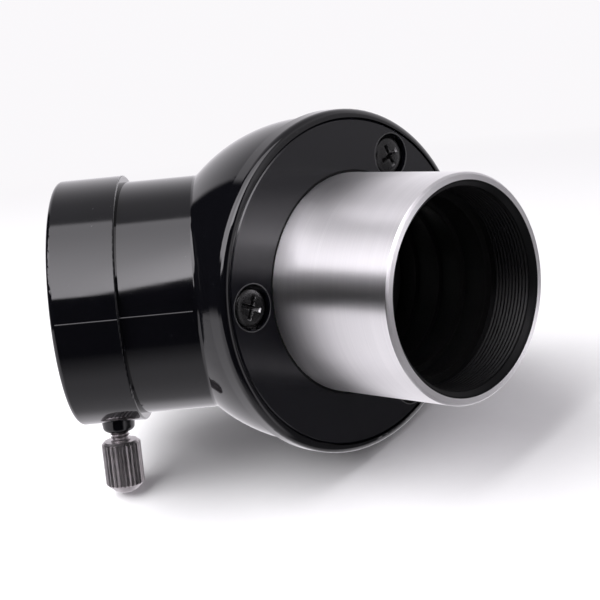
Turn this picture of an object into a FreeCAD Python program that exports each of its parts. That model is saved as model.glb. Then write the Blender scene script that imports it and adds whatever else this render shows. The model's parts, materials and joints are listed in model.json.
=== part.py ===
"""A 45 degree erecting prism star diagonal for 1.25 inch eyepieces, as a parametric FreeCAD document.

Frame: +X runs out along the nosepiece, the origin is on the nosepiece axis at the face of the front plate, and the
bend lies in the XY plane. The eyepiece socket runs from the bend point along (cos 225, sin 225, 0), and the
thumbscrew hangs along -Z from the socket's collar. Lengths are in millimetres.
"""

import FreeCAD, Part
import os
import math
import Sketcher

Vector = FreeCAD.Vector
Rotation = FreeCAD.Rotation
Placement = FreeCAD.Placement

ALONG_X = Rotation(Vector(0, 0, 1), Vector(1, 0, 0))
UPWARD = Rotation()

SIZES = {
    # how far a cutting shape runs past the faces that it opens
    "cut_over": 1.0,
    # where the two optical axes meet, and how far the light is turned
    "bend_back": 6.85,
    "bend_angle": 45.0,
    # housing: bulb, rim, neck and collar
    "bulb_radius": 24.1,
    "cavity_radius": 21.8,
    "rim_radius": 25.0,
    "rim_depth": 3.0,
    "rim_round": 1.2,
    "root_round": 0.6,
    "neck_radius": 17.2,
    "collar_radius": 18.2,
    "collar_start": 27.7,
    "collar_end": 37.4,
    "collar_round": 0.7,
    "step_round": 0.25,
    "shoulder_start": 9.0,
    "socket_floor": 15.5,
    "socket_bore": 15.95,
    "socket_lead": 0.5,
    "lead_over": 0.1,
    "light_bore": 10.4,
    "screw_boss": 2.9,
    "boss_depth": 14.0,
    # front plate
    "plate_radius": 23.65,
    "plate_gap": 0.1,
    "plate_edge": 0.3,
    "shoulder_hole": 16.25,
    "flange_pocket": 17.7,
    "flange_pocket_depth": 0.95,
    # plate screws, three on one circle
    "screw_circle": 19.8,
    "screw_recess": 3.25,
    "screw_recess_depth": 1.5,
    "screw_way": 1.34,
    "screw_hole": 1.14,
    "screw_hole_depth": 8.9,
    "screw_shank": 1.1,
    "screw_length": 8.5,
    "screw_tip": 0.8,
    "screw_tip_radius": 0.3,
    "screw_head": 2.7,
    "screw_head_edge": 0.7,
    "screw_head_crown": 0.15,
    "screw_head_round": 0.45,
    "screw_head_flat": 1.5,
    "cross_length": 3.0,
    "cross_width": 0.66,
    "cross_depth": 0.85,
    # nosepiece barrel, 1.25 inch, bored for 28.5 mm filters
    "barrel_radius": 15.875,
    "barrel_reach": 21.8,
    "barrel_chamfer": 0.35,
    "barrel_flange": 17.6,
    "barrel_rear": 2.95,
    "flange_front": 2.1,
    "barrel_shoulder": 16.2,
    "shoulder_front": 0.1,
    "mouth_radius": 14.8,
    "mouth_lead": 0.8,
    "filter_bore": 14.0,
    "liner_seat": 14.2,
    # black sleeve pressed into the barrel behind the filter thread
    "liner_radius": 14.17,
    "liner_end": 13.98,
    "liner_front": 14.0,
    "liner_bore": 12.8,
    "baffle_bore": 12.1,
    "baffle_width": 0.7,
    "baffle_pitch": 4.6,
    "liner_rear": 2.9,
    # roof prism that turns light through 45 degrees
    "prism_entry": 2.6,
    "prism_exit": 6.2,
    "prism_width": 19.0,
    "prism_apex_cut": 2.4,
    "prism_bevel": 0.7,
    # cradle, pads, clip and stop
    "wall_front": 3.1,
    "wall_thick": 1.0,
    "wall_low": 14.3,
    "wall_high": 20.6,
    "wall_radius": 21.2,
    "wall_aperture": 9.6,
    "cheek_inside": 10.0,
    "cheek_thick": 0.9,
    "cheek_margin": 0.4,
    "cradle_reach": 21.4,
    "pad_thick": 0.45,
    "pad_length": 7.0,
    "pad_height": 5.0,
    "pad_depth": 12.0,
    "clip_thick": 0.4,
    "clip_width": 5.0,
    "clip_gap": 0.7,
    "clip_leg": 9.0,
    "clip_slack": 0.05,
    "roof_pad_width": 8.0,
    "roof_pad_length": 4.0,
    "roof_pad_gap": 0.08,
    "roof_pad_slack": 0.02,
    "cradle_screw_y": 16.8,
    "cradle_screw_z": 8.3,
    "cradle_screw_shank": 0.8,
    "cradle_screw_hole": 0.83,
    "cradle_screw_way": 0.93,
    "cradle_screw_head": 1.45,
    "cradle_screw_head_thick": 0.7,
    "cradle_slot_depth": 0.35,
    "cradle_slot_width": 0.4,
    "cradle_screw_end": 1.0,
    "cradle_screw_gap": 0.1,
    "stop_radius": 16.15,
    "stop_groove": 16.2,
    "stop_bore": 11.2,
    "stop_thick": 0.8,
    "stop_bevel": 0.5,
    "stop_slack": 0.02,
    # thumbscrew, its brass insert and the boss that holds them
    "thumb_place": 32.7,
    "boss_end": 20.0,
    "boss_end_radius": 2.35,
    "boss_root_radius": 2.7,
    "boss_root": 16.9,
    "boss_round": 0.75,
    "boss_hole": 1.55,
    "insert_radius": 1.85,
    "insert_hole": 1.88,
    "insert_bore": 1.52,
    "insert_end": 19.6,
    "insert_top": 16.7,
    "stud_radius": 1.46,
    "stud_top": 17.2,
    "stud_end": 26.0,
    "stud_point": 0.35,
    "tip_radius": 1.15,
    "tip_top": 16.25,
    "tip_crown": 0.3,
    "tip_gap": 0.03,
    "knob_radius": 2.95,
    "knob_top": 21.5,
    "knob_grip_end": 28.2,
    "knob_end": 29.5,
    "knob_end_radius": 1.7,
    "knob_end_flat": 1.0,
    "knob_end_edge": 0.3,
    "knob_chamfer": 0.45,
    "knob_hole": 1.49,
    "knob_hole_end": 26.05,
    "knurl_depth": 0.28,
    "knurl_width": 0.4,
    "knurl_over": 0.1,
    "knurl_count": 28,
}

doc = FreeCAD.newDocument("StarDiagonal")
sheet = doc.addObject("Spreadsheet::Sheet", "Sizes")
for row, (alias, number) in enumerate(SIZES.items(), start=1):
    sheet.set(f"A{row}", alias)
    sheet.set(f"B{row}", str(number))
    sheet.setAlias(f"B{row}", alias)
doc.recompute()

NODES = []


def size(text):
    """The number that a sum of sheet names and plain numbers stands for, such as "barrel_reach - barrel_chamfer"."""
    total = 0.0
    sign = 1.0
    for word in text.split():
        if word in "+-":
            sign = -1.0 if word == "-" else 1.0
        else:
            total += sign * (float(sheet.get(word)) if word in SIZES else float(word))
    return total


def formula(text):
    """The same sum as an expression on the sheet."""
    return " ".join(f"Sizes.{word}" if word in SIZES else word for word in text.split())


def less(text, other):
    """The sum that is left when another sum is taken from this one."""
    flipped = {"+": "-", "-": "+"}
    words = [flipped.get(word, word) for word in other.split()]
    return f"{text} - {' '.join(words)}"


def bind(thing, **sums):
    """Binds each named property to a sum of sheet names."""
    for name, text in sums.items():
        thing.setExpression(name, formula(text))


def keep(thing, name):
    """Names a finished sub-part and puts it on the list of nodes."""
    thing.Label = name
    NODES.append(thing)
    return thing


# ---- sketches and Part Design features -------------------------------------------------------------------------


def new_body(name):
    """An empty body whose label is its node's name."""
    return keep(doc.addObject("PartDesign::Body", name), name)


def origin_item(body, role):
    """A plane or axis of a body's own origin."""
    return next(item for item in body.Origin.OriginFeatures if item.Role == role)


def new_sketch(body, name, plane, offset=None):
    """An empty sketch on one of the body's origin planes; offset is a sum that lifts it along the normal."""
    sketch = body.newObject("Sketcher::SketchObject", name)
    sketch.AttachmentSupport = [(origin_item(body, plane), "")]
    sketch.MapMode = "FlatFace"
    if offset:
        sketch.setExpression("AttachmentOffset.Base.z", formula(offset))
    return sketch


def fix_point(sketch, geometry, end, across, upward):
    """Holds a point at its two distances from the sketch's origin."""
    for kind, text in (("DistanceX", across), ("DistanceY", upward)):
        index = sketch.addConstraint(Sketcher.Constraint(kind, -1, 1, geometry, end, size(text)))
        sketch.setExpression(f"Constraints[{index}]", formula(text))


def add_polygon(sketch, corners):
    """A closed outline of straight lines through corners given as pairs of sums."""
    places = [Vector(size(across), size(upward), 0) for across, upward in corners]
    first = sketch.GeometryCount
    count = len(corners)
    for index, place in enumerate(places):
        sketch.addGeometry(Part.LineSegment(place, places[(index + 1) % count]), False)
    for index, (across, upward) in enumerate(corners):
        following = first + (index + 1) % count
        sketch.addConstraint(Sketcher.Constraint("Coincident", first + index, 2, following, 1))
        fix_point(sketch, first + index, 1, across, upward)


def add_circle(sketch, across, upward, radius):
    """A circle with its centre and radius held by sums."""
    centre = Vector(size(across), size(upward), 0)
    index = sketch.addGeometry(Part.Circle(centre, Vector(0, 0, 1), size(radius)), False)
    fix_point(sketch, index, 3, across, upward)
    limit = sketch.addConstraint(Sketcher.Constraint("Radius", index, size(radius)))
    sketch.setExpression(f"Constraints[{limit}]", formula(radius))


def turned(body, name, corners, plane="XY_Plane", axis="H_Axis"):
    """A solid turned from an outline about one of the sketch's own axes."""
    sketch = new_sketch(body, name + "_outline", plane)
    add_polygon(sketch, corners)
    feature = body.newObject("PartDesign::Revolution", name)
    feature.Profile = sketch
    feature.ReferenceAxis = (sketch, [axis])
    feature.Angle = 360
    doc.recompute()
    return feature


def removed(body, name, sketch, depth=None, reverse=False):
    """A pocket of the sketch: as deep as the sum says, or through all on both sides."""
    before = body.Shape.Volume
    feature = body.newObject("PartDesign::Pocket", name)
    feature.Profile = sketch
    if depth:
        feature.Type = "Length"
        feature.Reversed = reverse
        bind(feature, Length=depth)
    else:
        feature.Type = "ThroughAll"
        feature.SideType = "Symmetric"
    doc.recompute()
    if feature.Shape.Volume > before - 1e-6:
        raise RuntimeError(f"{name} cuts nothing")
    return feature


def repeated(body, name, originals, axis, count):
    """Features repeated evenly about one of the body's origin axes."""
    pattern = body.newObject("PartDesign::PolarPattern", name)
    pattern.Originals = originals
    pattern.Axis = (origin_item(body, axis), [""])
    pattern.Angle = 360
    if count in SIZES:
        pattern.setExpression("Occurrences", formula(count))
    else:
        pattern.Occurrences = int(count)
    body.Tip = pattern
    doc.recompute()
    return pattern


# ---- Part primitives -------------------------------------------------------------------------------------------


def put_at(thing, turn, x="0", y="0", z="0"):
    """Turns a primitive and holds its base at sums of sheet names."""
    thing.Placement = Placement(Vector(0, 0, 0), turn)
    for letter, text in (("x", x), ("y", y), ("z", z)):
        thing.setExpression(f"Placement.Base.{letter}", formula(text))


def put_on_socket(thing, distance):
    """Puts a primitive on the socket's axis, its own Z along it, at a distance from the bend point."""
    away = math.radians(180 + SIZES["bend_angle"])
    turn = Rotation(Vector(0, 0, 1), Vector(math.cos(away), math.sin(away), 0))
    thing.Placement = Placement(Vector(0, 0, 0), turn)
    reach = f"({formula(distance)})"
    thing.setExpression("Placement.Base.x", f"-Sizes.bend_back - {reach} * cos(Sizes.bend_angle * 1 deg)")
    thing.setExpression("Placement.Base.y", f"-{reach} * sin(Sizes.bend_angle * 1 deg)")


def cylinder(name, radius, height):
    """A Part cylinder with bound sizes, still at the origin."""
    thing = doc.addObject("Part::Cylinder", name)
    bind(thing, Radius=radius, Height=height)
    return thing


def sphere_at_bend(name, radius):
    """A ball about the bend point."""
    thing = doc.addObject("Part::Sphere", name)
    bind(thing, Radius=radius)
    put_at(thing, UPWARD, x="0 - bend_back")
    return thing


def socket_cylinder(name, radius, start, end):
    """A cylinder on the socket's axis between two distances from the bend point."""
    thing = cylinder(name, radius, less(end, start))
    put_on_socket(thing, start)
    return thing


def socket_cone(name, start_radius, end_radius, start, end):
    """A cone on the socket's axis between two distances from the bend point."""
    thing = doc.addObject("Part::Cone", name)
    bind(thing, Radius1=start_radius, Radius2=end_radius, Height=less(end, start))
    put_on_socket(thing, start)
    return thing


def joined(name, things):
    """The union of several objects."""
    union = doc.addObject("Part::MultiFuse", name)
    union.Shapes = things
    union.Refine = True
    doc.recompute()
    return union


def cut_from(name, base, tools):
    """A base with the union of several tools taken away."""
    result = doc.addObject("Part::Cut", name)
    result.Base = base
    result.Tool = tools[0] if len(tools) == 1 else joined(name + "_tools", tools)
    doc.recompute()
    return result


def overlap(name, first, second):
    """What two objects have in common."""
    result = doc.addObject("Part::Common", name)
    result.Base = first
    result.Tool = second
    doc.recompute()
    return result


def rounded(name, base, rounds):
    """Rounds every edge that passes one of the tests; rounds pairs a test with a sheet name."""
    doc.recompute()
    result = doc.addObject("Part::Fillet", name)
    result.Base = base
    chosen = []
    for number, edge in enumerate(base.Shape.Edges, start=1):
        for test, radius in rounds:
            if test(edge):
                chosen.append((number, size(radius), size(radius)))
                break
    result.Edges = chosen
    doc.recompute()
    return result


def circle_of(edge):
    """The circle that an edge follows, or None where it follows anything else."""
    if edge.Degenerated or not isinstance(edge.Curve, Part.Circle):
        return None
    return edge.Curve


def is_circle(edge, radius, centre):
    """True where an edge lies on the circle of this radius about this centre."""
    circle = circle_of(edge)
    return bool(circle) and abs(circle.Radius - size(radius)) < 1e-4 and (circle.Center - centre).Length < 1e-3


# ---- places worked out from the sheet --------------------------------------------------------------------------

AWAY = math.radians(180 + SIZES["bend_angle"])
BEND = Vector(-SIZES["bend_back"], 0, 0)
SOCKET_DIRECTION = Vector(math.cos(AWAY), math.sin(AWAY), 0)
THUMB = BEND + SOCKET_DIRECTION * SIZES["thumb_place"]
SCREW_ANGLES = (60, 180, 300)


def socket_point(alias):
    """A point on the socket's axis."""
    return BEND + SOCKET_DIRECTION * SIZES[alias]


def hang_from_collar(thing):
    """Puts a sub-part that is drawn about its own Z axis on the thumbscrew's axis."""
    thing.Placement = Placement(Vector(0, 0, 0), UPWARD)
    reach = "Sizes.thumb_place"
    thing.setExpression("Placement.Base.x", f"-Sizes.bend_back - {reach} * cos(Sizes.bend_angle * 1 deg)")
    thing.setExpression("Placement.Base.y", f"-{reach} * sin(Sizes.bend_angle * 1 deg)")


# ---- housing ---------------------------------------------------------------------------------------------------


def screw_columns(prefix, radius, depth, start="0"):
    """One cylinder along X at each plate screw, from start back to depth behind the plate's face."""
    columns = []
    for angle in SCREW_ANGLES:
        column = cylinder(f"{prefix}_{angle}", radius, less(depth, start))
        put_at(column, ALONG_X, x=f"0 - {depth}")
        across, upward = math.cos(math.radians(angle)), math.sin(math.radians(angle))
        column.setExpression("Placement.Base.y", f"Sizes.screw_circle * {across:.12f}")
        column.setExpression("Placement.Base.z", f"Sizes.screw_circle * {upward:.12f}")
        columns.append(column)
    return columns


def make_housing():
    """One moulding: a ball about the bend, a rim for the plate, and a neck that ends in a larger collar."""
    bulb = sphere_at_bend("bulb", "bulb_radius")
    rim = cylinder("rim", "rim_radius", "rim_depth")
    put_at(rim, ALONG_X, x="0 - rim_depth")
    neck = socket_cylinder("neck", "neck_radius", "0", "collar_start")
    collar = socket_cylinder("collar", "collar_radius", "collar_start", "collar_end")
    boss_cone = doc.addObject("Part::Cone", "thumb_boss_cone")
    bind(boss_cone, Radius1="boss_end_radius", Radius2="boss_root_radius", Height="boss_end - boss_root")
    hang_from_collar(boss_cone)
    boss_cone.setExpression("Placement.Base.z", "-Sizes.boss_end")
    boss = rounded("thumb_boss", boss_cone, [(is_boss_end, "boss_round")])

    # the ball is cut off flush with the rim's face before anything is rounded
    front_trim = cylinder("front_trim", "rim_radius", "bulb_radius")
    put_at(front_trim, ALONG_X)
    outside = cut_from("outside", joined("outside_blank", [bulb, rim, neck, collar]), [front_trim])
    smooth = rounded("outside_rounded", outside, [
        (lambda edge: is_circle(edge, "rim_radius", Vector(0, 0, 0)), "rim_round"),
        (lambda edge: is_circle(edge, "collar_radius", socket_point("collar_end")), "collar_round"),
        (lambda edge: is_circle(edge, "collar_radius", socket_point("collar_start")), "step_round"),
        (is_neck_root, "root_round"),
        (is_rim_root, "root_round"),
    ])
    shell = joined("shell", [smooth, boss])

    recess = cylinder("plate_recess", "plate_radius + plate_gap", "rim_depth + cut_over")
    put_at(recess, ALONG_X, x="0 - rim_depth")
    ball = sphere_at_bend("cavity_ball", "cavity_radius")
    wide = "cavity_radius + cut_over"
    reach = socket_cylinder("cavity_reach", wide, less("0", wide), "shoulder_start")
    behind = cylinder("behind_plate", wide, "bend_back + cavity_radius + cut_over")
    put_at(behind, ALONG_X, x="0 - bend_back - cavity_radius - cut_over")
    cavity = overlap("cavity", overlap("cavity_round", ball, reach), behind)
    light_way = socket_cylinder("light_way", "light_bore", "prism_exit", "socket_floor + cut_over")
    socket = socket_cylinder("socket_hole", "socket_bore", "socket_floor", "collar_end + cut_over")
    groove = socket_cylinder("stop_groove_cut", "stop_groove", "socket_floor", "socket_floor + stop_thick")
    lead = socket_cone("socket_lead_in", "socket_bore", "socket_bore + socket_lead + lead_over",
                       "collar_end - socket_lead", "collar_end + lead_over")
    hollow = cut_from("hollow", shell, [recess, cavity, light_way, socket, groove, lead])

    bosses = screw_columns("screw_boss_column", "screw_boss", "boss_depth", "rim_depth")
    solid = joined("with_bosses", [hollow, bosses[0], bosses[2]])
    holes = screw_columns("screw_hole_column", "screw_hole", "screw_hole_depth")
    insert_way = cylinder("insert_way", "insert_hole", "insert_end - socket_bore + cut_over")
    hang_from_collar(insert_way)
    insert_way.setExpression("Placement.Base.z", "-Sizes.insert_end")
    stud_way = cylinder("stud_way", "boss_hole", "boss_end - insert_end + cut_over + cut_over")
    hang_from_collar(stud_way)
    stud_way.setExpression("Placement.Base.z", "-Sizes.boss_end - Sizes.cut_over")
    keep(cut_from("housing", solid, [*holes, insert_way, stud_way]), "housing")


def is_boss_end(edge):
    """True for the edge around the thumbscrew boss's lower face."""
    circle = circle_of(edge)
    return bool(circle) and abs(circle.Radius - SIZES["boss_end_radius"]) < 1e-4


def is_neck_root(edge):
    """True for the edge where the neck leaves the ball."""
    circle = circle_of(edge)
    if not circle or abs(circle.Radius - SIZES["neck_radius"]) > 1e-4:
        return False
    on_axis = (circle.Center - BEND).cross(SOCKET_DIRECTION).Length < 1e-3
    return on_axis and (circle.Center - BEND).Length < SIZES["bulb_radius"]


def is_rim_root(edge):
    """True for the edge where the rim's back face meets the ball."""
    circle = circle_of(edge)
    if not circle:
        return False
    at_back = (circle.Center - Vector(-SIZES["rim_depth"], 0, 0)).Length < 1e-3
    return at_back and circle.Radius < SIZES["rim_radius"] - 1e-4


# ---- front plate, its screws and the barrel --------------------------------------------------------------------


def make_front_plate():
    """The round cover: a flat disc with the barrel's hole, a pocket for its flange and three screw recesses."""
    body = new_body("front_plate")
    turned(body, "disc", [
        ("0 - rim_depth", "flange_pocket"),
        ("0 - rim_depth", "plate_radius"),
        ("0 - plate_edge", "plate_radius"),
        ("0", "plate_radius - plate_edge"),
        ("0", "shoulder_hole"),
        ("0 - rim_depth + flange_pocket_depth", "shoulder_hole"),
        ("0 - rim_depth + flange_pocket_depth", "flange_pocket"),
    ])
    recess_sketch = new_sketch(body, "recess_outline", "YZ_Plane")
    add_circle(recess_sketch, "0 - screw_circle", "0", "screw_recess")
    recess = removed(body, "recess", recess_sketch, "screw_recess_depth")
    hole_sketch = new_sketch(body, "hole_outline", "YZ_Plane")
    add_circle(hole_sketch, "0 - screw_circle", "0", "screw_way")
    hole = removed(body, "screw_way", hole_sketch)
    cradle_sketch = new_sketch(body, "cradle_hole_outline", "YZ_Plane", "0 - rim_depth")
    for side in ("0 + cradle_screw_z", "0 - cradle_screw_z"):
        add_circle(cradle_sketch, "cradle_screw_y", side, "cradle_screw_hole")
    removed(body, "cradle_holes", cradle_sketch, "rim_depth - cradle_screw_end", reverse=True)
    repeated(body, "screw_places", [recess, hole], "X_Axis", "3")


def make_plate_screws():
    """Three black cross-head screws, alike, drawn once and repeated about the barrel."""
    body = new_body("plate_screws")
    body.AllowCompound = True
    shaft = new_sketch(body, "screw_outline", "XY_Plane")
    seat = "0 - screw_recess_depth"
    add_polygon(shaft, [
        ("0 - screw_length", "0 - screw_circle"),
        ("0 - screw_length", "screw_tip_radius - screw_circle"),
        ("0 - screw_length + screw_tip", "screw_shank - screw_circle"),
        (seat, "screw_shank - screw_circle"),
        (seat, "screw_head - screw_circle"),
        (seat + " + screw_head_edge", "screw_head - screw_circle"),
        (seat + " + screw_head_edge + screw_head_round", "screw_head - screw_head_round - screw_circle"),
        ("0 - screw_head_crown", "screw_head_flat - screw_circle"),
        ("0 - screw_head_crown", "0 - screw_circle"),
    ])
    screw = body.newObject("PartDesign::Revolution", "screw")
    screw.Profile = shaft
    screw.ReferenceAxis = (shaft, ["Edge9"])
    screw.Angle = 360
    doc.recompute()
    slots = []
    arms = [("across", "cross_length", "cross_width"), ("upright", "cross_width", "cross_length")]
    for name, width, height in arms:
        slot = body.newObject("Sketcher::SketchObject", f"slot_{name}_outline")
        slot.AttachmentSupport = [(origin_item(body, "YZ_Plane"), "")]
        slot.MapMode = "FlatFace"
        centred_rectangle(slot, "0 - screw_circle", width, height)
        slots.append(removed(body, f"slot_{name}", slot, "screw_head_crown + cross_depth"))
    repeated(body, "screws", [screw, *slots], "X_Axis", "3")


def centred_rectangle(sketch, across, width, height):
    """A rectangle about a point on the sketch's horizontal axis, held by its half sizes."""
    middle = size(across)
    half_width = size(width) / 2
    half_height = size(height) / 2
    corners = [(-1, -1), (1, -1), (1, 1), (-1, 1)]
    places = [Vector(middle + a * half_width, b * half_height, 0) for a, b in corners]
    first = sketch.GeometryCount
    for index in range(4):
        sketch.addGeometry(Part.LineSegment(places[index], places[(index + 1) % 4]), False)
    for index, (a, b) in enumerate(corners):
        sketch.addConstraint(Sketcher.Constraint("Coincident", first + index, 2, first + (index + 1) % 4, 1))
        x_sign, y_sign = ("-" if a < 0 else "+"), ("-" if b < 0 else "")
        for kind, number, text in (
            ("DistanceX", places[index].x, f"{formula(across)} {x_sign} {formula(width)} / 2"),
            ("DistanceY", places[index].y, f"{y_sign}{formula(height)} / 2"),
        ):
            limit = sketch.addConstraint(Sketcher.Constraint(kind, -1, 1, first + index, 1, number))
            sketch.setExpression(f"Constraints[{limit}]", text)


def make_barrel():
    """The bright nosepiece tube, held behind the plate by its flange, open at the mouth for a filter."""
    turned(new_body("nosepiece_barrel"), "tube", [
        ("0 - barrel_rear", "liner_seat"),
        ("0 - barrel_rear", "barrel_flange"),
        ("0 - flange_front", "barrel_flange"),
        ("0 - flange_front", "barrel_shoulder"),
        ("0 - shoulder_front", "barrel_shoulder"),
        ("0 - shoulder_front", "barrel_radius"),
        ("barrel_reach - barrel_chamfer", "barrel_radius"),
        ("barrel_reach", "barrel_radius - barrel_chamfer"),
        ("barrel_reach", "mouth_radius"),
        ("barrel_reach - mouth_lead", "filter_bore"),
        ("liner_front", "filter_bore"),
        ("liner_front", "liner_seat"),
    ])


def make_barrel_liner():
    """A black sleeve inside the barrel with three narrow baffle rings that stop stray light."""
    body = new_body("barrel_liner")
    corners = [("0 - liner_rear", "liner_radius"), ("liner_end", "liner_radius"), ("liner_end", "liner_bore")]
    place = "liner_front"
    for _ in range(3):
        place += " - baffle_pitch"
        corners += [
            (place + " + baffle_width", "liner_bore"),
            (place + " + baffle_width", "baffle_bore"),
            (place, "baffle_bore"),
            (place, "liner_bore"),
        ]
    corners.append(("0 - liner_rear", "liner_bore"))
    turned(body, "sleeve", corners)


# ---- prism and what holds it -----------------------------------------------------------------------------------
# The prism's own frame has X along the roof's ridge, Y out of the ridge and Z across, with the origin where the
# central ray meets the ridge. HALF is half of the bend: the ridge leans that far from +X.

HALF = math.radians(SIZES["bend_angle"] / 2)
RIDGE_POINT = BEND + Vector(
    -SIZES["prism_exit"] * math.sqrt(2),
    2 * SIZES["prism_entry"] + SIZES["prism_exit"] * math.sqrt(2),
    0,
)
RIDGE_PLACEMENT = Placement(RIDGE_POINT, Rotation(Vector(0, 0, 1), math.degrees(HALF)))


def prism_corners(grow=0.0):
    """The three corners of the prism's side face in its own frame, with each side moved out by grow."""
    entry_reach = (SIZES["prism_entry"] + SIZES["prism_exit"] * math.sqrt(2)) / math.cos(HALF)
    exit_reach = (SIZES["prism_exit"] + SIZES["prism_entry"] * math.sqrt(2)) / math.cos(HALF)
    slope = math.tan(math.pi / 2 - HALF)
    spread = grow / math.tan((math.pi / 2 - HALF) / 2)
    front = Vector(entry_reach + spread, grow, 0)
    back = Vector(-exit_reach - spread, grow, 0)
    depth = (front.x - back.x) / 2 * slope
    return front, back, Vector((front.x + back.x) / 2, grow - depth, 0)


def slab(corners, low, high):
    """A flat solid between two heights over a polygon."""
    wire = Part.makePolygon([*corners, corners[0]])
    wire.translate(Vector(0, 0, low))
    return Part.Face(wire).extrude(Vector(0, 0, high - low))


def in_place(name, shape):
    """A Part feature of the prism group, set in the ridge's frame."""
    feature = doc.addObject("Part::Feature", name)
    feature.Shape = shape
    feature.Placement = RIDGE_PLACEMENT
    return keep(feature, name)


def make_prism():
    """A roof prism: a 45 degree wedge with its apex cut flat and two faces at right angles along its base."""
    front, back, apex = prism_corners()
    half_width = SIZES["prism_width"] / 2
    lift = SIZES["prism_apex_cut"]
    side = lift * math.tan(HALF)
    bevel = SIZES["prism_bevel"]
    outline = [
        front - Vector(bevel, 0, 0),
        back + Vector(bevel, 0, 0),
        back + (apex - back).normalize() * bevel,
        apex + Vector(-side, lift, 0),
        apex + Vector(side, lift, 0),
        front + (apex - front).normalize() * bevel,
    ]
    block = slab(outline, -half_width, half_width)
    over = SIZES["cut_over"]
    length = front.x - back.x + 2 * over
    deep = apex.Length + over
    roof = [Vector(0, 0, 0), Vector(0, -deep, deep), Vector(0, -deep, -deep)]
    wedge = Part.Face(Part.makePolygon([*roof, roof[0]])).extrude(Vector(length, 0, 0))
    wedge.translate(Vector(back.x - over, 0, 0))
    in_place("roof_prism", block.common(wedge))


def make_prism_cradle():
    """A black bracket: a front wall with the entry hole and two cheeks beside the prism."""
    thick = SIZES["wall_thick"]
    half = SIZES["cheek_inside"] + SIZES["cheek_thick"]
    wall = Part.makeBox(thick, SIZES["wall_low"] + SIZES["wall_high"], 2 * half,
                        Vector(-SIZES["wall_front"] - thick, -SIZES["wall_low"], -half))
    disc = Part.makeCylinder(SIZES["wall_radius"], 3 * thick,
                             Vector(-SIZES["wall_front"] - 2 * thick, 0, 0), Vector(1, 0, 0))
    wall = wall.common(disc)
    front, back, apex = prism_corners(SIZES["cheek_margin"])
    lift = SIZES["prism_apex_cut"]
    side = lift * math.tan(HALF)
    outline = [front, back, apex + Vector(-side, lift, 0), apex + Vector(side, lift, 0)]
    cheeks = []
    for low in (SIZES["cheek_inside"], -half):
        cheek = slab(outline, low, low + SIZES["cheek_thick"])
        cheek.Placement = RIDGE_PLACEMENT
        cheeks.append(cheek)
    reach = Part.makeSphere(SIZES["cradle_reach"], BEND)
    bracket = wall.fuse(cheeks).common(reach).removeSplitter()
    hole = Part.makeCylinder(SIZES["wall_aperture"], 4 * thick, Vector(-SIZES["wall_front"] - 2 * thick, 0, 0),
                             Vector(1, 0, 0))
    bracket = bracket.cut(hole)
    for place in cradle_screw_places():
        way = Part.makeCylinder(SIZES["cradle_screw_way"], 4 * thick,
                                place + Vector(-SIZES["wall_front"] - 2 * thick, 0, 0), Vector(1, 0, 0))
        bracket = bracket.cut(way)
    feature = doc.addObject("Part::Feature", "prism_cradle")
    feature.Shape = bracket
    keep(feature, "prism_cradle")


def cradle_screw_places():
    """The two cradle screws' axes, as points in the YZ plane."""
    return [Vector(0, SIZES["cradle_screw_y"], side * SIZES["cradle_screw_z"]) for side in (1, -1)]


def make_cradle_screws():
    """Two small pan-head screws that fix the cradle to the back of the front plate."""
    wall_back = -SIZES["wall_front"] - SIZES["wall_thick"]
    end = -SIZES["cradle_screw_end"] - SIZES["cradle_screw_gap"]
    slot_width = SIZES["cradle_slot_width"]
    slot_reach = SIZES["cradle_screw_head"] + SIZES["cut_over"]
    screws = []
    for place in cradle_screw_places():
        shank = Part.makeCylinder(SIZES["cradle_screw_shank"], end - wall_back, place + Vector(wall_back, 0, 0),
                                  Vector(1, 0, 0))
        head_back = wall_back - SIZES["cradle_screw_head_thick"]
        head = Part.makeCylinder(SIZES["cradle_screw_head"], SIZES["cradle_screw_head_thick"],
                                 place + Vector(head_back, 0, 0), Vector(1, 0, 0))
        slot = Part.makeBox(SIZES["cradle_slot_depth"], slot_width, 2 * slot_reach,
                            place + Vector(head_back, -slot_width / 2, -slot_reach))
        screws.append(head.fuse(shank).removeSplitter().cut(slot))
    feature = doc.addObject("Part::Feature", "cradle_screws")
    feature.Shape = Part.makeCompound(screws)
    keep(feature, "cradle_screws")


def make_pads():
    """Two cork pads between the prism's sides and the cheeks, and a notched one over the ridge."""
    gap = (SIZES["cheek_inside"] - SIZES["prism_width"] / 2 - SIZES["pad_thick"]) / 2
    low = SIZES["prism_width"] / 2 + gap
    pads = []
    for start in (low, -low - SIZES["pad_thick"]):
        pads.append(Part.makeBox(
            SIZES["pad_length"], SIZES["pad_height"], SIZES["pad_thick"],
            Vector(-SIZES["pad_length"] / 2, -SIZES["pad_depth"] - SIZES["pad_height"], start),
        ))
    in_place("side_pads", Part.makeCompound(pads))
    half = SIZES["roof_pad_width"] / 2
    gap = SIZES["roof_pad_gap"] * math.sqrt(2)
    top = SIZES["clip_gap"] - SIZES["roof_pad_slack"]
    notch = [(top, -half), (gap - half, -half), (gap, 0), (gap - half, half), (top, half)]
    corners = [Vector(-SIZES["roof_pad_length"] / 2, up, across) for up, across in notch]
    pad = Part.Face(Part.makePolygon([*corners, corners[0]])).extrude(Vector(SIZES["roof_pad_length"], 0, 0))
    in_place("roof_pad", pad)


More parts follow.
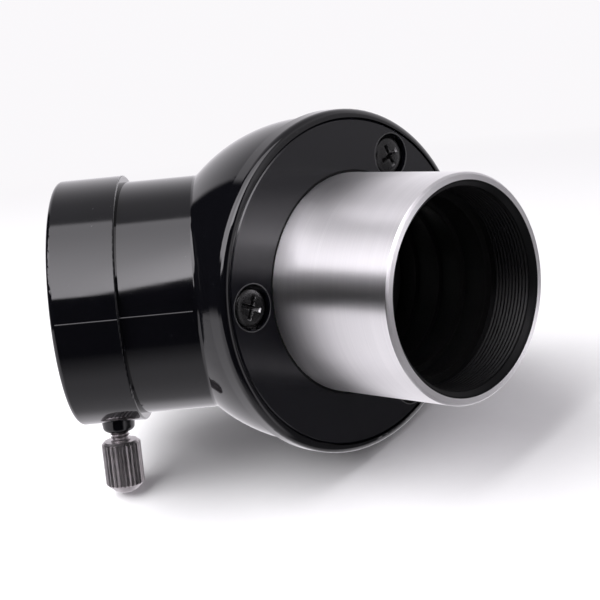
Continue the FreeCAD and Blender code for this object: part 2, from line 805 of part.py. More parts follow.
def make_prism_clip():
    """A spring steel strap over the ridge pad with a leg down the outside of each cheek."""
    thick = SIZES["clip_thick"]
    inner = SIZES["cheek_inside"] + SIZES["cheek_thick"] + SIZES["clip_slack"]
    top = SIZES["clip_gap"]
    leg = top - SIZES["clip_leg"]
    u_shape = [
        (leg, -inner - thick), (top + thick, -inner - thick), (top + thick, inner + thick), (leg, inner + thick),
        (leg, inner), (top, inner), (top, -inner), (leg, -inner),
    ]
    corners = [Vector(-SIZES["clip_width"] / 2, up, across) for up, across in u_shape]
    strap = Part.Face(Part.makePolygon([*corners, corners[0]])).extrude(Vector(SIZES["clip_width"], 0, 0))
    in_place("prism_clip", strap)


def make_stop_ring():
    """A thin black ring snapped into a groove at the socket's floor, which the eyepiece's barrel stops against."""
    body = new_body("eyepiece_stop")
    turned(body, "ring", [
        ("socket_floor + stop_slack", "stop_bore"),
        ("socket_floor + stop_slack", "stop_radius"),
        ("socket_floor + stop_thick - stop_slack", "stop_radius"),
        ("socket_floor + stop_thick - stop_slack", "stop_bore + stop_bevel"),
    ])
    body.Placement = Placement(BEND, Rotation(Vector(1, 0, 0), SOCKET_DIRECTION))


# ---- thumbscrew ------------------------------------------------------------------------------------------------


def make_thread_insert():
    """A brass bush in the collar's boss that carries the thumbscrew's thread."""
    body = new_body("thread_insert")
    turned(body, "bush", [
        ("insert_bore", "0 - insert_end"),
        ("insert_radius", "0 - insert_end"),
        ("insert_radius", "0 - insert_top"),
        ("insert_bore", "0 - insert_top"),
    ], plane="XZ_Plane", axis="V_Axis")
    hang_from_collar(body)


def make_thumbscrew_stud():
    """The thumbscrew's threaded shank, fixed in the knob."""
    body = new_body("thumbscrew_stud")
    turned(body, "stud", [
        ("0", "0 - stud_end"),
        ("stud_radius", "0 - stud_end"),
        ("stud_radius", "0 - stud_top - stud_point"),
        ("stud_radius - stud_point", "0 - stud_top"),
        ("0", "0 - stud_top"),
    ], plane="XZ_Plane", axis="V_Axis")
    hang_from_collar(body)


def make_stud_tip():
    """A nylon pad on the end of the stud that presses on the eyepiece and doesn't turn."""
    body = new_body("stud_tip")
    turned(body, "pad", [
        ("0", "0 - stud_top + tip_gap"),
        ("tip_radius", "0 - stud_top + tip_gap"),
        ("tip_radius", "0 - tip_top - tip_crown"),
        ("tip_radius - tip_crown", "0 - tip_top"),
        ("0", "0 - tip_top"),
    ], plane="XZ_Plane", axis="V_Axis")
    hang_from_collar(body)


def make_thumbscrew_knob():
    """The knurled knob: a turned blank with straight grooves around its grip and a smooth rounded end."""
    body = new_body("thumbscrew_knob")
    turned(body, "blank", [
        ("0", "0 - knob_end"),
        ("knob_end_flat", "0 - knob_end"),
        ("knob_end_radius", "knob_end_edge - knob_end"),
        ("knob_radius - knob_chamfer", "0 - knob_grip_end - knob_end_edge"),
        ("knob_radius", "knob_chamfer - knob_grip_end - knob_end_edge"),
        ("knob_radius", "0 - knob_top - knob_chamfer"),
        ("knob_radius - knob_chamfer", "0 - knob_top"),
        ("knob_hole", "0 - knob_top"),
        ("knob_hole", "0 - knob_hole_end"),
        ("0", "0 - knob_hole_end"),
    ], plane="XZ_Plane", axis="V_Axis")
    groove_sketch = new_sketch(body, "groove_outline", "XY_Plane", "0 - knob_grip_end")
    deep = "knob_radius - knurl_depth"
    add_polygon(groove_sketch, [
        (deep, "0"),
        ("knob_radius + knurl_over", "0 - knurl_width"),
        ("knob_radius + knurl_over", "knurl_width"),
    ])
    groove = removed(body, "groove", groove_sketch, "knob_grip_end - knob_top + cut_over", reverse=True)
    repeated(body, "knurl", [groove], "Z_Axis", "knurl_count")
    hang_from_collar(body)


# ---- build, check and write ------------------------------------------------------------------------------------

make_housing()
make_front_plate()
make_plate_screws()
make_barrel()
make_barrel_liner()
make_prism()
make_prism_cradle()
make_cradle_screws()
make_pads()
make_prism_clip()
make_stop_ring()
make_thread_insert()
make_thumbscrew_stud()
make_stud_tip()
make_thumbscrew_knob()
doc.recompute()

for thing in doc.Objects:
    if {"Invalid", "Error"} & set(thing.State):
        raise RuntimeError(f"{thing.Name} failed: {thing.State}")
for node in NODES:
    if node.Shape.isNull() or not node.Shape.isValid():
        raise RuntimeError(f"{node.Label} has no valid shape")

os.makedirs("parts", exist_ok=True)
for node in NODES:
    node.Shape.exportStep(os.path.join("parts", node.Label + ".step"))
    solids = len(node.Shape.Solids)
    print(f"{node.Label}: {solids} solid(s), {node.Shape.Volume:.1f} mm3, {node.Shape.BoundBox}")
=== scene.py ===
"""Looks of a 45 degree star diagonal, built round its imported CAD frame. Every length is in metres.

The frame has +X out along the nosepiece, the bend in the XY plane, and the thumbscrew hanging along -Z.
"""

import json
import math

import bmesh
import bpy
from mathutils import Matrix, Vector


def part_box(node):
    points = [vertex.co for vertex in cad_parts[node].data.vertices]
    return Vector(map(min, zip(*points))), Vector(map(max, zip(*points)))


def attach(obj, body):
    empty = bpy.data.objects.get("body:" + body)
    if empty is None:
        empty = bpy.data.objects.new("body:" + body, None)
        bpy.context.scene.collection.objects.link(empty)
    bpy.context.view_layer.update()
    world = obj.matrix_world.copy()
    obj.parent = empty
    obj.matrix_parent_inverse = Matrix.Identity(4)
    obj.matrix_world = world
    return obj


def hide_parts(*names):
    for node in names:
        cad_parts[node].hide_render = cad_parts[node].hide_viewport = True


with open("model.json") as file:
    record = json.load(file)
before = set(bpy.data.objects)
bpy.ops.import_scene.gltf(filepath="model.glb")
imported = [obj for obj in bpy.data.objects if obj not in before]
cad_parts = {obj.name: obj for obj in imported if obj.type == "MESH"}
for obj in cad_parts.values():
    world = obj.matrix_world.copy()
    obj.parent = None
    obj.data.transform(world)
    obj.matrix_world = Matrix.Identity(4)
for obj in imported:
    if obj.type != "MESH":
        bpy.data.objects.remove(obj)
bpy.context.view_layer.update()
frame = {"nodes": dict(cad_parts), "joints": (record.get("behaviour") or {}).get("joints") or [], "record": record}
MM = 0.001

# ---- places and sizes read from the frame --------------------------------------------------------

MOUNTS = {mount["name"]: mount for mount in frame["record"]["mounts"]}
SOCKET = Vector(MOUNTS["eyepiece_socket"]["axis"])
SOCKET_POINT = Vector(MOUNTS["eyepiece_socket"]["pos_m"])
BEND = SOCKET_POINT - SOCKET * (SOCKET_POINT.y / SOCKET.y)
SCREW_AXIS = Vector(next(j["pos_m"] for j in frame["joints"] if j["name"] == "thumbscrew_turn"))
FILTER_BORE = MOUNTS["filter_thread"]["dims"]["r_mm"] * MM
BARREL_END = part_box("nosepiece_barrel")[1].x
LINER_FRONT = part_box("barrel_liner")[1].x
RIM_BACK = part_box("front_plate")[0].x
X_AXIS = Vector((1, 0, 0))
UP = Vector((0, 0, 1))


def node_points(node):
    """The corners of a CAD node's mesh, in the frame."""
    piece = frame["nodes"][node]
    return [piece.matrix_world @ vertex.co for vertex in piece.data.vertices]


COLLAR_END = max((point - BEND).dot(SOCKET) for point in node_points("housing"))

# sizes of the moulding and the barrel that no box or mount gives
BALL_RADIUS = 24.1 * MM
NECK_RADIUS = 17.2 * MM
COLLAR_RADIUS = 18.2 * MM
COLLAR_START = 27.7 * MM
SCREW_CIRCLE = 19.8 * MM
RECESS_RADIUS = 3.25 * MM
MOUTH_RADIUS = 14.8 * MM


# ---- mesh helpers --------------------------------------------------------------------------------


def new_piece(name, points, faces, materials, smooth=True):
    """A mesh object from points and faces, with its normals outside."""
    mesh = bpy.data.meshes.new(name)
    mesh.from_pydata([tuple(point) for point in points], [], faces)
    for material in materials:
        mesh.materials.append(material)
    work = bmesh.new()
    work.from_mesh(mesh)
    bmesh.ops.recalc_face_normals(work, faces=work.faces)
    work.to_mesh(mesh)
    work.free()
    if smooth:
        mesh.shade_smooth()
    piece = bpy.data.objects.new(name, mesh)
    bpy.context.scene.collection.objects.link(piece)
    return piece


def square_directions(axis):
    """Two directions square to an axis and to each other."""
    side = axis.cross(UP if abs(axis.z) < 0.9 else X_AXIS).normalized()
    return side, axis.cross(side)


def soften(piece, angle=32):
    """Smooth shading that keeps corners sharper than the angle, in degrees."""
    piece.data.shade_smooth()
    piece.data.set_sharp_from_angle(angle=math.radians(angle))


def apply_modifiers(piece):
    """What the piece's modifiers make of it becomes its own mesh."""
    graph = bpy.context.evaluated_depsgraph_get()
    mesh = bpy.data.meshes.new_from_object(piece.evaluated_get(graph))
    piece.modifiers.clear()
    piece.data = mesh


def boolean_cut(piece, cutter):
    """Takes the cutter's shape out of the piece, and removes the cutter."""
    cut = piece.modifiers.new("cut", "BOOLEAN")
    cut.object = cutter
    cut.solver = "EXACT"
    apply_modifiers(piece)
    bpy.data.objects.remove(cutter)


def lathe(name, outline, origin, axis, material, segments=96, closed=True):
    """A solid turned about a line from an outline of (distance along the line, radius).

    A closed outline is a ring's section. An open one starts and ends on the line.
    """
    side, other = square_directions(axis)
    points, faces = [], []
    for step in range(segments):
        angle = math.tau * step / segments
        outward = side * math.cos(angle) + other * math.sin(angle)
        points += [origin + axis * along + outward * radius for along, radius in outline]
    count = len(outline)
    for step in range(segments):
        here, there = step * count, (step + 1) % segments * count
        for index in range(count if closed else count - 1):
            following = (index + 1) % count
            faces.append((here + index, here + following, there + following, there + index))
    piece = new_piece(name, points, faces, [material])
    same_place = 0.001 * MM
    work = bmesh.new()
    work.from_mesh(piece.data)
    bmesh.ops.remove_doubles(work, verts=work.verts, dist=same_place)
    bmesh.ops.recalc_face_normals(work, faces=work.faces)
    work.to_mesh(piece.data)
    work.free()
    soften(piece)
    return piece


def ridge_along(name, sections, material, smooth=True):
    """A ridge with a triangle for its section, through a list of such triangles' corners."""
    points = [corner for section in sections for corner in section]
    last = len(points) - 3
    faces = []
    for here in range(0, last, 3):
        there = here + 3
        for index in range(3):
            following = (index + 1) % 3
            faces.append((here + index, here + following, there + following, there + index))
    faces += [(0, 1, 2), (last, last + 1, last + 2)]
    return new_piece(name, points, faces, [material], smooth)


def thread(name, origin, axis, radius, height, pitch, start, end, material, segments=72):
    """A V thread's ridge on a cylinder: height is negative where it stands inwards, as in a bore."""
    side, other = square_directions(axis)
    half_width = 0.46 * pitch
    # its foot is sunk into the cylinder, and its crest fades out over a quarter turn at each end
    sunk, run_out = -0.1, segments / 4
    steps = int((end - start - 2 * half_width) / pitch * segments)
    sections = []
    for step in range(steps + 1):
        angle = math.tau * step / segments
        outward = side * math.cos(angle) + other * math.sin(angle)
        along = start + half_width + pitch * step / segments
        crest = min(1, step / run_out, (steps - step) / run_out)
        sections.append([
            origin + axis * (along + offset) + outward * (radius + height * rise)
            for offset, rise in ((-half_width, sunk), (0, crest), (half_width, sunk))
        ])
    piece = ridge_along(name, sections, material)
    soften(piece, 25)
    return piece


def on_body(piece, body, slot, *nodes):
    """The piece rides on a body and stands for the CAD nodes named, which it hides; the slot is not used."""
    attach(piece, body)
    if nodes:
        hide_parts(*nodes)
    return piece


# ---- material helpers ----------------------------------------------------------------------------


class Paint:
    """A procedural material, with short calls for the nodes that these surfaces need.

    Values that are the same all over the surface are given by their sockets' names, with _ for a space.
    """

    def __init__(self, name, **sockets):
        self.material = bpy.data.materials.new(name)
        self.material.use_nodes = True
        self.tree = self.material.node_tree
        self.shader = self.tree.nodes["Principled BSDF"]
        for socket, value in sockets.items():
            self.shader.inputs[socket.replace("_", " ")].default_value = value
        self.place = self.node("ShaderNodeTexCoord").outputs["Object"]

    def node(self, kind, **settings):
        """A new node with its settings."""
        node = self.tree.nodes.new(kind)
        for name, value in settings.items():
            setattr(node, name, value)
        return node

    def join(self, source, target):
        """A link from one node's output to another's input."""
        self.tree.links.new(source, target)

    def stretched(self, x, y, z):
        """The place on the object, scaled along each axis, for grain that runs one way."""
        mapping = self.node("ShaderNodeMapping")
        mapping.inputs["Scale"].default_value = (x, y, z)
        self.join(self.place, mapping.inputs["Vector"])
        return mapping.outputs["Vector"]

    def noise(self, size, detail=3.0, place=None):
        """Cloudy noise whose patches are about size across; with a stretched place, size is 1."""
        noise = self.node("ShaderNodeTexNoise")
        noise.inputs["Scale"].default_value = 1 / size
        noise.inputs["Detail"].default_value = detail
        self.join(place or self.place, noise.inputs["Vector"])
        return noise.outputs["Fac"]

    def span(self, value, low, high, to_low, to_high):
        """The value, mapped from one span to another and kept within it."""
        span = self.node("ShaderNodeMapRange")
        for name, number in (("From Min", low), ("From Max", high), ("To Min", to_low), ("To Max", to_high)):
            span.inputs[name].default_value = number
        self.join(value, span.inputs["Value"])
        return span.outputs["Result"]

    def math(self, operation, first, second=None):
        """One operation on values, each given as a number or as another node's output."""
        node = self.node("ShaderNodeMath", operation=operation)
        for socket, value in zip(node.inputs, (first, second)):
            if value is None:
                continue
            if isinstance(value, (int, float)):
                socket.default_value = value
            else:
                self.join(value, socket)
        return node.outputs["Value"]

    def blend(self, factor, first, second):
        """A colour between two, each given as a colour or as another node's output."""
        mix = self.node("ShaderNodeMix", data_type="RGBA")
        self.join(factor, mix.inputs["Factor"])
        for socket, colour in ((mix.inputs[6], first), (mix.inputs[7], second)):
            if isinstance(colour, tuple):
                socket.default_value = (*colour, 1)
            else:
                self.join(colour, socket)
        return mix.outputs[2]

    def distance_from_axis(self):
        """How far a point is from the nosepiece's axis."""
        parts = self.node("ShaderNodeSeparateXYZ")
        self.join(self.place, parts.inputs["Vector"])
        squares = [self.math("MULTIPLY", parts.outputs[k], parts.outputs[k]) for k in ("Y", "Z")]
        return self.math("SQRT", self.math("ADD", *squares))

    def colour(self, output):
        """The output colours the surface."""
        self.join(output, self.shader.inputs["Base Color"])

    def rough(self, output):
        """The output sets how rough the surface is."""
        self.join(output, self.shader.inputs["Roughness"])

    def bump(self, *layers):
        """Relief from (height, depth) pairs, each depth in metres, one on top of the other."""
        normal = None
        for height, depth in layers:
            bump = self.node("ShaderNodeBump")
            bump.inputs["Strength"].default_value = 1
            bump.inputs["Distance"].default_value = depth
            self.join(height, bump.inputs["Height"])
            if normal:
                self.join(normal, bump.inputs["Normal"])
            normal = bump.outputs["Normal"]
        self.join(normal, self.shader.inputs["Normal"])


def moulded(name, dark, light, gloss, matt):
    """Black moulded plastic: faint flow marks, a fine orange peel, and a few specks of dust."""
    paint = Paint(name, IOR=1.5)
    flow = paint.noise(9 * MM, 4)
    specks = paint.span(paint.noise(0.35 * MM, 1), 0.79, 0.82, 0, 1)
    body = paint.blend(flow, dark, light)
    paint.colour(paint.blend(specks, body, (0.05, 0.05, 0.056)))
    paint.rough(paint.span(paint.noise(2.5 * MM, 5), 0.3, 0.7, gloss, matt))
    paint.bump((paint.noise(6 * MM, 1), 0.0024 * MM), (paint.noise(0.5 * MM, 2), 0.00036 * MM))
    return paint.material


def aluminium(name):
    """Bright aluminium with fine rings from turning; black anodising in the bore and on the shoulder."""
    paint = Paint(name, IOR=1.45, Anisotropic=0.85, Anisotropic_Rotation=0.25)
    parts = paint.node("ShaderNodeSeparateXYZ")
    paint.join(paint.place, parts.inputs["Vector"])
    edge = 0.02 * MM
    outside = paint.span(paint.distance_from_axis(), MOUTH_RADIUS - edge, MOUTH_RADIUS + edge, 0, 1)
    proud = paint.span(parts.outputs["X"], -3 * edge, -edge, 0, 1)
    bare = paint.math("MULTIPLY", outside, proud)
    rings = paint.noise(1, 2, paint.stretched(7000, 30, 30))
    wide_rings = paint.noise(1, 2, paint.stretched(700, 8, 8))
    clouds = paint.noise(7 * MM, 3)
    bright = paint.blend(wide_rings, (0.78, 0.77, 0.78), (0.88, 0.87, 0.88))
    bright = paint.blend(paint.span(rings, 0.4, 0.6, 0, 0.2), bright, (0.7, 0.7, 0.71))
    bright = paint.blend(paint.span(clouds, 0.45, 0.75, 0, 0.4), bright, (0.77, 0.76, 0.78))
    paint.colour(paint.blend(bare, (0.004, 0.004, 0.0045), bright))
    paint.join(bare, paint.shader.inputs["Metallic"])
    # the bevelled face at the mouth is duller than the tube, and so is the anodising
    turned = paint.span(rings, 0.3, 0.7, 0.3, 0.33)
    mouth = paint.span(parts.outputs["X"], BARREL_END - 0.3 * MM, BARREL_END - 0.2 * MM, 0, 0.35)
    anodised = paint.span(bare, 0, 1, 0.1, 0)
    paint.rough(paint.math("ADD", paint.math("ADD", turned, mouth), anodised))
    paint.join(paint.span(bare, 0, 1, 0.15, 0.5), paint.shader.inputs["Specular IOR Level"])
    tangent = paint.node("ShaderNodeTangent", direction_type="RADIAL", axis="X")
    paint.join(tangent.outputs["Tangent"], paint.shader.inputs["Tangent"])
    paint.bump((rings, 0.00005 * MM), (wide_rings, 0.0003 * MM))
    return paint.material


def matt_black(name, tone, roughness, shine=0.5):
    """Dull black paint, oxide or anodising with a fine grain; shine is the strength of its reflections."""
    paint = Paint(name, IOR=1.45, Specular_IOR_Level=shine)
    grain = paint.noise(0.3 * MM, 4)
    paint.colour(paint.blend(grain, (tone * 0.7,) * 3, (tone * 1.3, tone * 1.3, tone * 1.4)))
    paint.rough(paint.span(grain, 0.3, 0.7, roughness - 0.08, roughness + 0.1))
    paint.bump((grain, 0.004 * MM))
    return paint.material


def metal(name, dark, light, smooth, dull, grain=0.6 * MM, depth=0.002 * MM):
    """Plated or plain metal: patches of tarnish, and a fine grain that breaks up its shine."""
    paint = Paint(name, Metallic=1.0)
    patches = paint.noise(1.7 * MM, 5)
    fine = paint.noise(grain, 3)
    paint.colour(paint.blend(paint.span(patches, 0.35, 0.65, 0, 1), dark, light))
    paint.rough(paint.span(fine, 0.3, 0.7, smooth, dull))
    paint.bump((fine, depth))
    return paint.material


def cork(name):
    """Pressed cork: pale crumbs with darker gaps."""
    paint = Paint(name, Roughness=0.9)
    cells = paint.node("ShaderNodeTexVoronoi")
    cells.inputs["Scale"].default_value = 1 / (0.8 * MM)
    paint.join(paint.place, cells.inputs["Vector"])
    shade = paint.span(cells.outputs["Distance"], 0.1, 0.7, 0, 1)
    paint.colour(paint.blend(shade, (0.45, 0.27, 0.13), (0.2, 0.1, 0.045)))
    paint.bump((shade, 0.05 * MM))
    return paint.material


def nylon(name):
    """Milky nylon with a faint mottle."""
    paint = Paint(name, IOR=1.53, Subsurface_Weight=0.2)
    mottle = paint.noise(0.4 * MM, 3)
    paint.colour(paint.blend(mottle, (0.78, 0.76, 0.69), (0.88, 0.87, 0.82)))
    paint.rough(paint.span(mottle, 0.3, 0.7, 0.35, 0.5))
    return paint.material


def optical_glass(name):
    """Clear crown glass with the faintest ripple on its polish."""
    paint = Paint(name, IOR=1.52, Transmission_Weight=1.0)
    ripple = paint.noise(3 * MM, 2)
    paint.colour(paint.blend(ripple, (0.95, 0.98, 0.96), (0.98, 1.0, 0.99)))
    paint.rough(paint.span(ripple, 0.3, 0.7, 0.0, 0.02))
    return paint.material


# ---- the pieces ----------------------------------------------------------------------------------


def finish_cad_nodes(looks):
    """Each CAD node's own material slots take the material named for it."""
    for node, material in looks.items():
        for slot in frame["nodes"][node].material_slots:
            slot.material = material


def parting_ridge(name, route, material):
    """The raised line that the mould's two halves leave, along a route of (point, outward direction)."""
    half_width, rise, sink = 0.1 * MM, 0.045 * MM, 0.02 * MM
    sections = [
        (
            point - outward * sink + UP * half_width,
            point + outward * rise,
            point - outward * sink - UP * half_width,
        )
        for point, outward in route
    ]
    ridge = ridge_along(name, sections, material, smooth=False)
    on_body(ridge, "diagonal", "housing_black")


def make_parting_lines(material):
    """Ridges on both sides of the collar, the neck and the ball, where the bend plane cuts the housing."""
    # the lines stop short of the rounded edges and roots, and of the ball's ends by an angle
    rounding, step_rounding, end_angle = 0.7 * MM, 0.3 * MM, 0.03
    arc_steps = 32
    neck_start = math.sqrt(BALL_RADIUS ** 2 - NECK_RADIUS ** 2)
    socket_angle = math.atan2(SOCKET.y, SOCKET.x) % math.tau
    rim_angle = math.acos((RIM_BACK - BEND.x) / BALL_RADIUS)
    neck_angle = math.asin(NECK_RADIUS / BALL_RADIUS)
    for name, side, last in (("inner", 1, math.tau - rim_angle), ("outer", -1, rim_angle)):
        outward = Vector((-SOCKET.y, SOCKET.x, 0)) * side
        for part, radius, start, end in (
            ("collar", COLLAR_RADIUS, COLLAR_START + step_rounding, COLLAR_END - rounding),
            ("neck", NECK_RADIUS, neck_start + rounding, COLLAR_START),
        ):
            route = [(BEND + SOCKET * along + outward * radius, outward) for along in (start, end)]
            parting_ridge(f"parting_line_{part}_{name}", route, material)
        first = socket_angle + side * (neck_angle + end_angle)
        sweep = last - side * end_angle - first
        route = []
        for index in range(arc_steps + 1):
            angle = first + sweep * index / arc_steps
            direction = Vector((math.cos(angle), math.sin(angle), 0))
            route.append((BEND + direction * BALL_RADIUS, direction))
        parting_ridge(f"parting_line_ball_{name}", route, material)


def cross_wing(name, half_length, depth, upright):
    """One tapered bar of a cross-head driver's tip: x = 0 is the screw head's top, and depth its reach."""
    half_width = 0.37 * MM
    # each level's place along the axis, and its share of the full length and width
    levels = ((0.3 * MM, 1.0), (-0.35 * MM, 0.82), (-depth, 0.5))
    points = []
    for along, share in levels:
        for a, b in ((-1, -1), (1, -1), (1, 1), (-1, 1)):
            long_side, wide_side = a * half_length * share, b * half_width * share
            across = (long_side, wide_side) if upright else (wide_side, long_side)
            points.append(Vector((along, *across)))
    faces = [(3, 2, 1, 0), (8, 9, 10, 11)]
    for level in (0, 4):
        for k in range(4):
            following = (k + 1) % 4
            faces.append((level + k, level + following, level + 4 + following, level + 4 + k))
    return new_piece(name, points, faces, [], smooth=False)


def make_screw_blank(name, material):
    """A plate screw without its cross, along the X axis: pointed shank, flat seat and low domed head."""
    head_top, seat, tip = -0.15 * MM, -1.5 * MM, -8.5 * MM
    head, shank, point = 2.7 * MM, 1.08 * MM, 0.3 * MM
    corner = 0.1 * MM
    dome = [
        (-0.62 * MM, head), (-0.5 * MM, head - 0.06 * MM), (-0.34 * MM, head - 0.34 * MM),
        (-0.24 * MM, head - 0.75 * MM), (-0.17 * MM, head - 1.5 * MM), (head_top, 0),
    ]
    outline = [
        (tip, 0), (tip, point), (tip + 0.8 * MM, shank),
        (seat, shank), (seat, head - corner), (seat + corner, head),
        *dome,
    ]
    return lathe(name, outline, Vector(), X_AXIS, material, 72, closed=False), head_top


def cut_cross(screw, head_top, worn):
    """The cross for the driver, with softened edges; drivers have rubbed the upper part of its walls bare."""
    half_length, depth = 1.95 * MM, 1.1 * MM
    for upright in (False, True):
        cutter = cross_wing("cross_wing", half_length, depth, upright)
        cutter.location.x = head_top
        bpy.context.view_layer.update()
        boolean_cut(screw, cutter)
    bevel = screw.modifiers.new("edge", "BEVEL")
    bevel.width, bevel.segments, bevel.limit_method = 0.05 * MM, 2, "ANGLE"
    bevel.angle_limit = math.radians(40)
    apply_modifiers(screw)
    cross_reach, rubbed_depth, facing_out = 2.0 * MM, 0.4 * MM, 0.93
    screw.data.materials.append(worn)
    for face in screw.data.polygons:
        in_cross = math.hypot(face.center.y, face.center.z) < cross_reach
        high = face.center.x > head_top - rubbed_depth
        face.material_index = int(in_cross and high and face.normal.x < facing_out)


def make_recess_lip(name, centre, material):
    """The rounded lip that the mould leaves round a screw's recess in the plate; its material is far lighter than
    the plate's, a painted highlight along the lip.
    """
    thickness, inset, corners = 0.09 * MM, 0.06 * MM, 12
    out, sideways = 0.05 * MM, RECESS_RADIUS + inset
    lip = []
    for corner in range(corners):
        angle = math.tau * corner / corners
        lip.append((out * math.sin(angle), sideways + thickness * math.cos(angle)))
    ring = lathe(name, lip, centre, X_AXIS, material, 120)
    on_body(ring, "diagonal", "plate_black")


def make_plate_screws(material, worn, lip_painted_highlight):
    """Three cross-head screws in the plate, each stopped at its own turn, and the lips of their recesses."""
    # where each screw stands round the barrel, and how far its cross is turned, in degrees
    turns = {60: 24, 180: 68, 300: 40}
    for number, (place, turn) in enumerate(turns.items(), start=1):
        screw, head_top = make_screw_blank(f"plate_screw_{number}", material)
        cut_cross(screw, head_top, worn)
        around = math.radians(place)
        centre = Vector((0, SCREW_CIRCLE * math.cos(around), SCREW_CIRCLE * math.sin(around)))
        screw.data.transform(Matrix.Translation(centre) @ Matrix.Rotation(math.radians(turn), 4, "X"))
        soften(screw, 35)
        on_body(screw, "diagonal", "screw_black", "plate_screws")
        make_recess_lip(f"recess_lip_{number}", centre, lip_painted_highlight)


def make_stud(material):
    """The thumbscrew's shank with a real M3 thread, and the small collar where it enters the knob."""
    crest, root, pitch, collar = 1.46 * MM, 1.2 * MM, 0.5 * MM, 1.47 * MM
    chamfer = 0.2 * MM
    knob_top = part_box("thumbscrew_knob")[1].z
    low, high = (corner.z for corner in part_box("thumbscrew_stud"))
    axis_point = Vector((SCREW_AXIS.x, SCREW_AXIS.y, 0))
    outline = [
        (low, 0), (low, root), (knob_top - 0.1 * MM, root), (knob_top - 0.1 * MM, collar),
        (knob_top + 0.12 * MM, collar), (knob_top + 0.3 * MM, root), (high - chamfer, root),
        (high, root - chamfer), (high, 0),
    ]
    stud = lathe("stud_core", outline, axis_point, UP, material, 64, closed=False)
    ridge = thread("stud_thread", axis_point, UP, root, crest - root, pitch,
                   knob_top + 0.15 * MM, high - 0.1 * MM, material, 48)
    on_body(stud, "thumbscrew", "nickel", "thumbscrew_stud")
    on_body(ridge, "thumbscrew", "nickel")


def make_filter_thread(material):
    """The fine thread inside the nosepiece's mouth that a filter screws into."""
    depth, pitch = 0.11 * MM, 0.6 * MM
    start, end = LINER_FRONT + 0.5 * MM, BARREL_END - 0.9 * MM
    ridge = thread("filter_thread_ridge", Vector(), X_AXIS, FILTER_BORE, -depth, pitch,
                   start, end, material, 180)
    on_body(ridge, "diagonal", "liner_black")


def make_pieces():
    """All the looks: materials for the CAD nodes, and the finer pieces added to them."""
    housing = moulded("glossy black plastic", (0.002, 0.002, 0.0028), (0.0034, 0.0034, 0.0046),
                      gloss=0.05, matt=0.085)
    plate = moulded("satin black plastic", (0.003, 0.003, 0.0046), (0.0045, 0.0045, 0.0068),
                    gloss=0.15, matt=0.21)
    nickel = metal("nickel plate", (0.4, 0.375, 0.385), (0.52, 0.49, 0.5), 0.3, 0.4,
                   grain=0.5 * MM, depth=0.0006 * MM)
    oxide = matt_black("black oxide steel", tone=0.006, roughness=0.3)
    rubbed = metal("rubbed steel", (0.1, 0.1, 0.1), (0.3, 0.3, 0.3), 0.2, 0.4)
    steel = metal("zinc plated steel", (0.5, 0.5, 0.5), (0.66, 0.66, 0.64), 0.25, 0.4)
    spring = metal("blued spring steel", (0.2, 0.2, 0.25), (0.34, 0.34, 0.4), 0.2, 0.35)
    brass = metal("turned brass", (0.62, 0.43, 0.16), (0.8, 0.6, 0.28), 0.2, 0.35)
    anodised = matt_black("matt black anodising", tone=0.004, roughness=0.45, shine=0.3)
    liner = matt_black("matt black liner", tone=0.003, roughness=0.55, shine=0.2)
    bracket = matt_black("matt black moulding", tone=0.018, roughness=0.55)
    pads = cork("pressed cork")
    finish_cad_nodes({
        "housing": housing,
        "front_plate": plate,
        "nosepiece_barrel": aluminium("turned aluminium"),
        "barrel_liner": liner,
        "roof_prism": optical_glass("optical glass"),
        "prism_cradle": bracket,
        "cradle_screws": steel,
        "side_pads": pads,
        "roof_pad": pads,
        "prism_clip": spring,
        "eyepiece_stop": liner,
        "thread_insert": brass,
        "stud_tip": nylon("milky nylon"),
        "thumbscrew_knob": nickel,
    })
    make_parting_lines(housing)
    # the lips' plastic is far lighter than the plate's: a painted highlight round each recess
    make_plate_screws(oxide, rubbed, matt_black("plastic lip with painted highlight", tone=0.035, roughness=0.35))
    make_stud(nickel)
    make_filter_thread(anodised)


# ---- floor, light and camera ---------------------------------------------------------------------

# the plane that the object leans on touches the thumbscrew's end, the ball and the rim
REST_NORMAL = Vector((0.154, -0.319, 0.935)).normalized()
SURROUND = (0.955, 0.94, 0.96)


def smooth_step(value, low, high):
    """0 below low, 1 above high, and a smooth rise between."""
    share = min(1, max(0, (value - low) / (high - low)))
    return share * share * (3 - 2 * share)


def between(value, rise, fall):
    """0 before the rise and after the fall, 1 between them; each is the (low, high) of a smooth step."""
    return smooth_step(value, *rise) * (1 - smooth_step(value, *fall))


def glowing(paint, colour, strength=None):
    """Light of one colour from a paint's surface; strength is another node's output."""
    light = paint.node("ShaderNodeEmission")
    light.inputs["Color"].default_value = (*colour, 1)
    if strength:
        paint.join(strength, light.inputs["Strength"])
    return light.outputs["Emission"]


def show(paint, shader):
    """The shader is what the paint's surface shows."""
    paint.join(shader, paint.tree.nodes["Material Output"].inputs["Surface"])


